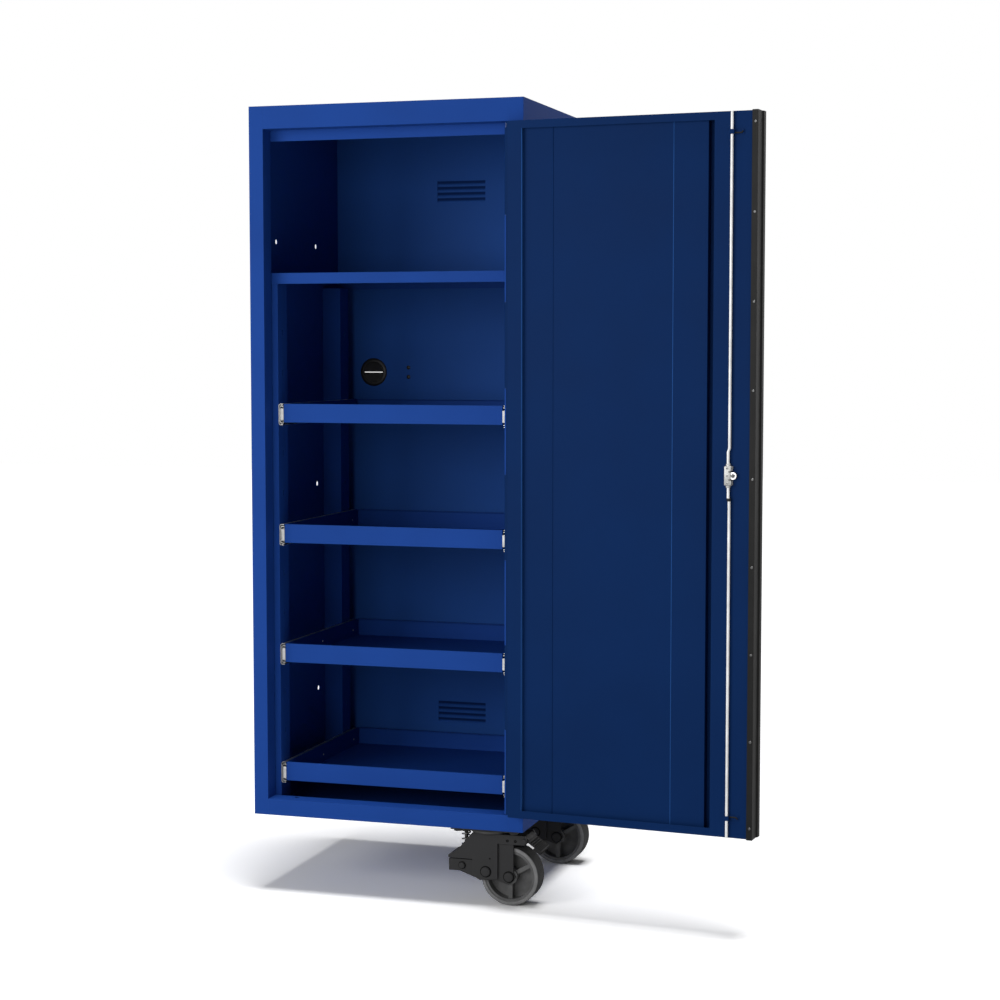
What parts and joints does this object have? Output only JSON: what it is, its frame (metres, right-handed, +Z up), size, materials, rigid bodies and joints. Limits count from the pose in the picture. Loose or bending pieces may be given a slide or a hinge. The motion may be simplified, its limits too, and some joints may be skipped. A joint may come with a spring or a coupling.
{
  "type": "tool chest side locker",
  "caption": "Tall steel side locker with one full-height door, a fixed shelf, roll-out trays on ball-bearing slides, a louvred back and sprung swivel casters.",
  "frame": {"origin": "centre of the four corner bolt holes, on the outer face of the left side", "axes": "+X from the left side into the locker and out to the right, +Y to the back, +Z up; the front faces -Y"},
  "size_m": [1.1145, 0.5979, 1.6935],
  "materials": {
    "blue_paint": "semi-gloss powder coat",
    "inner_blue_paint": "semi-gloss powder coat",
    "zinc_steel": "bright zinc plate",
    "black_extrusion": "black anodised",
    "black_plastic": "fine texture",
    "brush_fibre": "nylon bristles",
    "caster_steel": "dark grey paint",
    "wheel_iron": "painted grey",
    "tyre_rubber": "moulded"
  },
  "bodies": {
    "cabinet": {"left_side_panel": "blue_paint", "right_side_panel": "blue_paint", "top_panel": "blue_paint", "base_panel": "blue_paint", "top_rail": "blue_paint", "bottom_rail": "blue_paint", "back_panel": "blue_paint", "cable_grommet": "black_plastic", "grommet_brush": "brush_fibre", "fixed_shelf": "blue_paint", "left_uprights": "blue_paint", "right_uprights": "blue_paint", "slide_cabinet_members": "zinc_steel", "hinge_frame_leaf": "blue_paint", "hinge_pin": "zinc_steel", "caster_plates": "caster_steel", "caster_bolts": "zinc_steel"},
    "door": {"door_pan": "blue_paint", "door_inner_panel": "inner_blue_paint", "door_latch_channel": "inner_blue_paint", "door_handle": "black_extrusion", "handle_end_caps": "black_plastic", "handle_screws": "zinc_steel", "hinge_door_leaf": "blue_paint", "latch_case": "zinc_steel", "rod_guides": "blue_paint"},
    "lock": {"lock_cam": "zinc_steel"},
    "upper_rod": {"upper_latch_rod": "zinc_steel"},
    "lower_rod": {"lower_latch_rod": "zinc_steel"},
    "tray_1_carriage": {"tray_1": "blue_paint", "tray_1_inner_slides": "zinc_steel"},
    "tray_1_middle": {"tray_1_middle_slides": "zinc_steel"},
    "tray_2_carriage": {"tray_2": "blue_paint", "tray_2_inner_slides": "zinc_steel"},
    "tray_2_middle": {"tray_2_middle_slides": "zinc_steel"},
    "tray_3_carriage": {"tray_3": "blue_paint", "tray_3_inner_slides": "zinc_steel"},
    "tray_3_middle": {"tray_3_middle_slides": "zinc_steel"},
    "tray_4_carriage": {"tray_4": "blue_paint", "tray_4_inner_slides": "zinc_steel"},
    "tray_4_middle": {"tray_4_middle_slides": "zinc_steel"},
    "front_fork": {"front_caster_fork": "caster_steel", "front_caster_fork_bolts": "caster_steel", "front_caster_spring": "zinc_steel"},
    "front_arm": {"front_caster_swing_arm": "caster_steel", "front_caster_arm_bolts": "caster_steel", "front_caster_draw_bolt": "zinc_steel"},
    "front_wheel": {"front_caster_wheel": "wheel_iron", "front_caster_tyre": "tyre_rubber"},
    "front_pedal": {"front_caster_brake_pedal": "black_plastic"},
    "rear_fork": {"rear_caster_fork": "caster_steel", "rear_caster_fork_bolts": "caster_steel", "rear_caster_spring": "zinc_steel"},
    "rear_arm": {"rear_caster_swing_arm": "caster_steel", "rear_caster_arm_bolts": "caster_steel", "rear_caster_draw_bolt": "zinc_steel"},
    "rear_wheel": {"rear_caster_wheel": "wheel_iron", "rear_caster_tyre": "tyre_rubber"},
    "rear_pedal": {"rear_caster_brake_pedal": "black_plastic"}
  },
  "joints": [
    {"name": "door_hinge", "type": "hinge", "parent": "cabinet", "child": "door", "pos_m": [0.57385, -0.2555, 0], "axis": [0, 0, 1], "range_deg": [-175, 5]},
    {"name": "lock_turn", "type": "hinge", "parent": "door", "child": "lock", "pos_m": [1.0639, -0.32799, 0.03], "axis": [0.0872, 0.9962, 0], "range_deg": [0, 90]},
    {"name": "upper_rod_slide", "type": "slide", "parent": "door", "child": "upper_rod", "axis": [0, 0, 1], "range_m": [0, 0.01]},
    {"name": "lower_rod_slide", "type": "slide", "parent": "door", "child": "lower_rod", "axis": [0, 0, -1], "range_m": [0, 0.01]},
    {"name": "tray_1_slide", "type": "slide", "parent": "cabinet", "child": "tray_1_carriage", "axis": [0, -1, 0], "range_m": [0, 0.43]},
    {"name": "tray_1_middle_slide", "type": "slide", "parent": "cabinet", "child": "tray_1_middle", "axis": [0, -1, 0], "range_m": [0, 0.215]},
    {"name": "tray_2_slide", "type": "slide", "parent": "cabinet", "child": "tray_2_carriage", "axis": [0, -1, 0], "range_m": [0, 0.43]},
    {"name": "tray_2_middle_slide", "type": "slide", "parent": "cabinet", "child": "tray_2_middle", "axis": [0, -1, 0], "range_m": [0, 0.215]},
    {"name": "tray_3_slide", "type": "slide", "parent": "cabinet", "child": "tray_3_carriage", "axis": [0, -1, 0], "range_m": [0, 0.43]},
    {"name": "tray_3_middle_slide", "type": "slide", "parent": "cabinet", "child": "tray_3_middle", "axis": [0, -1, 0], "range_m": [0, 0.215]},
    {"name": "tray_4_slide", "type": "slide", "parent": "cabinet", "child": "tray_4_carriage", "axis": [0, -1, 0], "range_m": [0, 0.43]},
    {"name": "tray_4_middle_slide", "type": "slide", "parent": "cabinet", "child": "tray_4_middle", "axis": [0, -1, 0], "range_m": [0, 0.215]},
    {"name": "front_swivel", "type": "hinge", "parent": "cabinet", "child": "front_fork", "pos_m": [0.52, -0.188, -0.732], "axis": [0, 0, 1], "continuous": true},
    {"name": "front_suspension", "type": "hinge", "parent": "front_fork", "child": "front_arm", "pos_m": [0.518, -0.188, -0.829], "axis": [0, -1, 0], "range_deg": [0, 5], "stiffness_Nm_per_rad": 175, "springref_deg": -5.73, "deforming": ["front_caster_spring"]},
    {"name": "front_wheel_spin", "type": "hinge", "parent": "front_arm", "child": "front_wheel", "pos_m": [0.568, -0.188, -0.838], "axis": [0, 1, 0], "continuous": true},
    {"name": "front_brake", "type": "hinge", "parent": "front_fork", "child": "front_pedal", "pos_m": [0.604, -0.188, -0.758], "axis": [0, 1, 0], "range_deg": [0, 15]},
    {"name": "rear_swivel", "type": "hinge", "parent": "cabinet", "child": "rear_fork", "pos_m": [0.52, 0.188, -0.732], "axis": [0, 0, 1], "continuous": true},
    {"name": "rear_suspension", "type": "hinge", "parent": "rear_fork", "child": "rear_arm", "pos_m": [0.518, 0.188, -0.829], "axis": [0, -1, 0], "range_deg": [0, 5], "stiffness_Nm_per_rad": 175, "springref_deg": -5.73, "deforming": ["rear_caster_spring"]},
    {"name": "rear_wheel_spin", "type": "hinge", "parent": "rear_arm", "child": "rear_wheel", "pos_m": [0.568, 0.188, -0.838], "axis": [0, 1, 0], "continuous": true},
    {"name": "rear_brake", "type": "hinge", "parent": "rear_fork", "child": "rear_pedal", "pos_m": [0.604, 0.188, -0.758], "axis": [0, 1, 0], "range_deg": [0, 15]}
  ],
  "couplings": [
    {"joint": "lock_turn", "follows": "upper_rod_slide", "rad_per_m": 157.08},
    {"joint": "lower_rod_slide", "follows": "upper_rod_slide", "ratio": 1},
    {"joint": "tray_1_middle_slide", "follows": "tray_1_slide", "ratio": 0.5},
    {"joint": "tray_2_middle_slide", "follows": "tray_2_slide", "ratio": 0.5},
    {"joint": "tray_3_middle_slide", "follows": "tray_3_slide", "ratio": 0.5},
    {"joint": "tray_4_middle_slide", "follows": "tray_4_slide", "ratio": 0.5}
  ]
}
